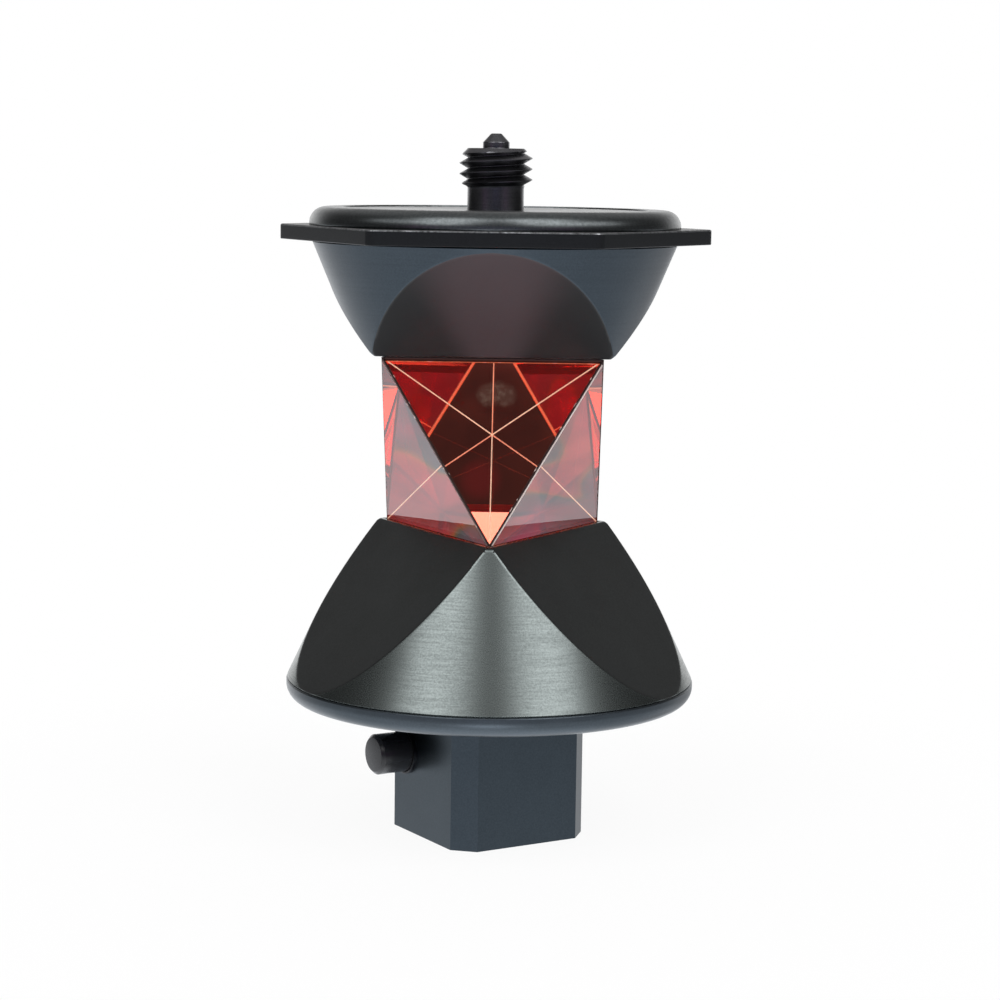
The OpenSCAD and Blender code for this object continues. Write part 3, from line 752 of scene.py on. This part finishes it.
def broken(node, name, width, slots, body="head", segments=2, angle=30, smooth=32, pick=None, even=True):
    bm = bmesh.new()
    bm.from_mesh(nodes[node].data)
    bmesh.ops.scale(bm, vec=(1000, 1000, 1000), verts=bm.verts)
    bmesh.ops.remove_doubles(bm, verts=bm.verts, dist=2e-4)
    bmesh.ops.dissolve_limit(bm, angle_limit=math.radians(0.25), verts=bm.verts, edges=bm.edges)
    # faces with a hole in them are cut into triangles first, or the bevel folds them
    bmesh.ops.triangulate(bm, faces=[f for f in bm.faces if len(f.verts) > 8], quad_method="BEAUTY", ngon_method="BEAUTY")
    for f in bm.faces:
        f.material_index = 0
    edges = [e for e in bm.edges if e.is_manifold and e.calc_face_angle(0.0) > math.radians(angle) and (pick is None or pick(e))]
    bmesh.ops.bevel(bm, geom=edges, offset=width, offset_type="OFFSET", segments=segments, profile=0.5, affect="EDGES", clamp_overlap=True)
    o = finish_mesh(bm, name, slots, body=body, smooth=smooth, even=even)
    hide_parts(node)
    return o


broken("socket_block", "block_body", 0.3, [m_block])
broken("base_plate", "base_disc", 0.15, [m_base])
broken("latch_bush", "bush_ring", 0.1, [m_bush])
broken("release_button", "button_cap", 0.12, [m_button], body="latch", even=False)

KEEP = {
    "cap_screws": m_steel, "hood_o_ring": m_rubber, "upper_gasket": m_rubber, "upper_seat": m_seat, "prism_bond": m_bond,
    "lower_seat": m_seat, "lower_gasket": m_rubber, "seat_washer": m_steel, "seat_screw": m_steel, "skirt_o_ring": m_rubber,
    "base_screws": m_steel, "block_screws": m_steel, "stop_pin": m_ground, "latch_plunger": m_ground,
}
for name, m in KEEP.items():
    for s in nodes[name].material_slots:
        s.material = m

# the return spring, which flattens against its seat as the button goes in, rebuilt from the CAD node with a mesh of its
# own
bm = bmesh.new()
bm.from_mesh(nodes["latch_spring"].data)
bmesh.ops.scale(bm, vec=(1000, 1000, 1000), verts=bm.verts)
bmesh.ops.remove_doubles(bm, verts=bm.verts, dist=2e-4)
for f in bm.faces:
    f.material_index = 0
o = finish_mesh(bm, "return_spring", [m_wire], smooth=50)
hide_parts("latch_spring")
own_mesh(o)

# ---------------------------------------------------------------- floor, light, camera

scene = bpy.context.scene
bm = bmesh.new()
S = 0.6
n = 24
vs = [[bm.verts.new((-S + 2 * S * i / n, -S + 2 * S * j / n, -0.00004)) for j in range(n + 1)] for i in range(n + 1)]
for i in range(n):
    for j in range(n):
        bm.faces.new((vs[i][j], vs[i + 1][j], vs[i + 1][j + 1], vs[i][j + 1]))
me = bpy.data.meshes.new("floor")
bm.to_mesh(me)
bm.free()
floor = bpy.data.objects.new("floor", me)
scene.collection.objects.link(floor)
m = Nodes("floor_pale")
g = m.noise(m.pos, 9.0, 3.0, 0.5)
m.set(Base_Color=m.mix(g, (0.90, 0.90, 0.905), (0.93, 0.93, 0.93)), Roughness=0.9, Specular_IOR_Level=0.1)
clear = m.nt.nodes.new("ShaderNodeBsdfTransparent")
blend = m.nt.nodes.new("ShaderNodeMixShader")
cam_ray = m.nt.nodes.new("ShaderNodeLightPath").outputs["Is Camera Ray"]
away = m.map(m.vec("LENGTH", m.pos), 0.05, 0.20, 0.93, 1.0, "SMOOTHSTEP")
m.put(blend.inputs[0], m.math("ADD", m.math("MULTIPLY", away, cam_ray), m.math("SUBTRACT", 1.0, cam_ray)))
m.nt.links.new(m.bsdf.outputs[0], blend.inputs[1])
m.nt.links.new(clear.outputs[0], blend.inputs[2])
m.nt.links.new(blend.outputs[0], m.out.inputs["Surface"])
me.materials.append(m.mat)

world = bpy.data.worlds.new("studio")
scene.world = world
world.use_nodes = True
wt = world.node_tree
wt.nodes.clear()
w_out = wt.nodes.new("ShaderNodeOutputWorld")
w_bg = wt.nodes.new("ShaderNodeBackground")
wt.links.new(w_bg.outputs[0], w_out.inputs[0])
w = Nodes.__new__(Nodes)
w.nt = wt
SWEEP, SIDES, FLOOR_FRONT, ROOM, NEAR_ROOM, DIM, BOX = 1.5, 0.07, 2.6, 0.12, 0.20, 0.11, 3.7
way = wt.nodes.new("ShaderNodeTexCoord").outputs["Generated"]
s = w.split(way)
# a bright sweep low down and behind, a dim room above and where the photographer stands, three softboxes


def toward(az, el):
    """Direction at an azimuth from the front and an elevation, in degrees."""
    a, e = math.radians(az), math.radians(el)
    return (math.sin(a) * math.cos(e), -math.cos(a) * math.cos(e), math.sin(e))


def lobe(az, el, inner, outer):
    return w.map(w.vec("DOT_PRODUCT", way, toward(az, el)), math.cos(math.radians(outer)), math.cos(math.radians(inner)),
                 0.0, 1.0, "SMOOTHSTEP")


def times_grey(a, b):
    return w.math("MULTIPLY", a, b)


front = w.math("MULTIPLY", s[1], -1.0)
near = w.map(front, 0.30, 0.95, 0.0, 1.0, "SMOOTHSTEP")
high = w.map(s[2], 0.10, 0.48, 0.0, 1.0, "SMOOTHSTEP")
low = w.math("ADD", w.map(s[2], -0.40, -0.28, 0.0, 0.38, "SMOOTHSTEP"), w.map(s[2], -0.15, -0.06, 0.0, 0.62, "SMOOTHSTEP"))
back = w.map(s[1], 0.62, 0.93, SIDES, SWEEP, "SMOOTHSTEP")
spots = w.math("ADD", times_grey(lobe(0, -33, 6, 15), FLOOR_FRONT), times_grey(w.math("ADD", lobe(61, -41, 4, 9), lobe(-67, -43, 4, 9)), 0.2))
spots = w.math("ADD", spots, times_grey(lobe(0, -88, 12, 42), 0.9))
ground = w.math("ADD", w.map(s[0], -0.8, 0.8, 1.42, 1.22), spots)
# the room behind the photographer, uneven
rough_patch = w.noise(way, 9.0, 2.0, 0.5)
fine_patch = w.noise(way, 46.0, 2.0, 0.55, 0.6)
room = w.math("ADD", ROOM, times_grey(lobe(0.0, 5.0, 6, 16), NEAR_ROOM))
about = lobe(0.8, 6.2, 1.3, 3.0)
patch = times_grey(w.map(rough_patch, 0.35, 0.65, 0.7, 1.6), w.map(fine_patch, 0.36, 0.64, 0.6, 1.5))
patch = w.math("ADD", patch, times_grey(times_grey(about, 0.6), w.math("SUBTRACT", 0.95, patch)))
room = times_grey(times_grey(room, patch), w.map(about, 0.0, 1.0, 1.0, 0.155))
hue = w.ramp(w.noise(way, 34.0, 0.0, 0.5, 0.8),
             [(0.38, (1.0, 0.50, 0.72)), (0.455, (1.0, 0.62, 0.62)), (0.475, (1.0, 0.86, 0.42)), (0.495, (0.45, 1.0, 0.62)),
              (0.520, (0.22, 0.72, 0.90)), (0.60, (0.34, 0.66, 1.0)), (0.66, (0.85, 0.52, 1.0))])
hue = w.mix(about, hue, (1.0, 0.95, 0.88))
tint = w.mix(about, (0.86, 0.96, 1.22), (1.05, 1.0, 0.95))
inner = w.mix(1.0, w.mix(1.0, hue, tint, "MULTIPLY"), w.join(room, room, room), "MULTIPLY")
inner = w.mix(1.0, inner, w.mix(lobe(0.95, 6.95, 0.02, 0.55), (0.0, 0.0, 0.0), (0.055, 0.003, 0.02)), "ADD")
colour = w.mix(near, w.join(back, back, back), inner)
ceiling = w.math("ADD", DIM, times_grey(lobe(180, 62, 12, 50), 0.45))
colour = w.mix(high, colour, w.join(ceiling, times_grey(ceiling, 0.98), times_grey(ceiling, 0.98)))
colour = w.mix(low, w.join(times_grey(ground, 0.97), ground, times_grey(ground, 1.04)), colour)
boxes = times_grey(w.math("ADD", w.math("MAXIMUM", lobe(-35, 37, 8, 21), lobe(-35, 54, 9, 20)),
                          w.math("MAXIMUM", lobe(39, 37, 8, 21), lobe(39, 54, 9, 21))), BOX)
# a small far lamp in the ceiling, which the front glass mirrors
lamp = w.math("MAXIMUM", w.math("MAXIMUM", lobe(-0.97, 33.85, 0.06, 0.30), lobe(-0.50, 33.85, 0.06, 0.30)), lobe(-0.73, 33.9, 0.06, 0.32))
lamp = times_grey(lamp, w.map(w.cells(way, 520.0), 0.10, 0.62, 1.15, 0.45))
lamps = w.join(w.math("ADD", boxes, lamp), w.math("ADD", boxes, times_grey(lamp, 0.82)), w.math("ADD", boxes, times_grey(lamp, 0.62)))
colour = w.mix(1.0, colour, lamps, "ADD")
sides = w.math("MAXIMUM", lobe(42, 6, 2, 12), lobe(-43, 6, 2, 12))
colour = w.mix(1.0, colour, w.mix(sides, (0.0, 0.0, 0.0), (0.20, 0.02, 0.16)), "ADD")
colour = w.mix(times_grey(w.math("MAXIMUM", lobe(153, -15, 6, 17), lobe(141, -35, 4, 12)), 0.6), colour, (0.25, 0.25, 0.26))
# what stands behind the object is plain white from every side
seen = wt.nodes.new("ShaderNodeLightPath").outputs["Is Camera Ray"]
w.put(w_bg.inputs["Color"], w.mix(seen, colour, (1.0, 1.0, 1.0)))
w_bg.inputs["Strength"].default_value = 1.0



def area(name, at, aim, size, power):
    l = bpy.data.lights.new(name, "AREA")
    l.shape = "RECTANGLE"
    l.size, l.size_y = size
    l.energy = power
    o = bpy.data.objects.new(name, l)
    scene.collection.objects.link(o)
    o.location = at
    o.rotation_euler = (Vector(aim) - Vector(at)).to_track_quat("-Z", "Y").to_euler()
    o.visible_camera = False
    return o


area("strip_right", (0.27, -0.12, 0.300), (0.02, -0.03, 0.136), (0.15, 0.10), 0.12)
area("strip_left", (-0.27, -0.12, 0.300), (-0.02, -0.03, 0.136), (0.15, 0.10), 0.06)

cam = bpy.data.cameras.new("camera")
cam.lens = 93.744
cam.sensor_width = 36.0
cam.sensor_fit = "HORIZONTAL"
cam.clip_start = 0.05
cam.clip_end = 50
cam_o = bpy.data.objects.new("camera", cam)
scene.collection.objects.link(cam_o)
yaw, pitch, roll = math.radians(-0.503), math.radians(7.393), math.radians(0.78)
f = Vector((math.sin(yaw) * math.cos(pitch), math.cos(yaw) * math.cos(pitch), -math.sin(pitch)))
rt = f.cross(Vector((0, 0, 1))).normalized()
up = rt.cross(f)
rt2 = math.cos(roll) * rt + math.sin(roll) * up
up2 = -math.sin(roll) * rt + math.cos(roll) * up
mat = Matrix((rt2, up2, -f)).transposed().to_4x4()
mat.translation = Vector((6.87, -571.16, 148.5)) * MM
cam_o.matrix_world = mat
scene.camera = cam_o

scene.view_settings.view_transform = "Standard"
scene.view_settings.look = "None"
scene.view_settings.exposure = 0.0
scene.cycles.max_bounces = 32
scene.cycles.glossy_bounces = 30
scene.cycles.transmission_bounces = 30
scene.cycles.diffuse_bounces = 4
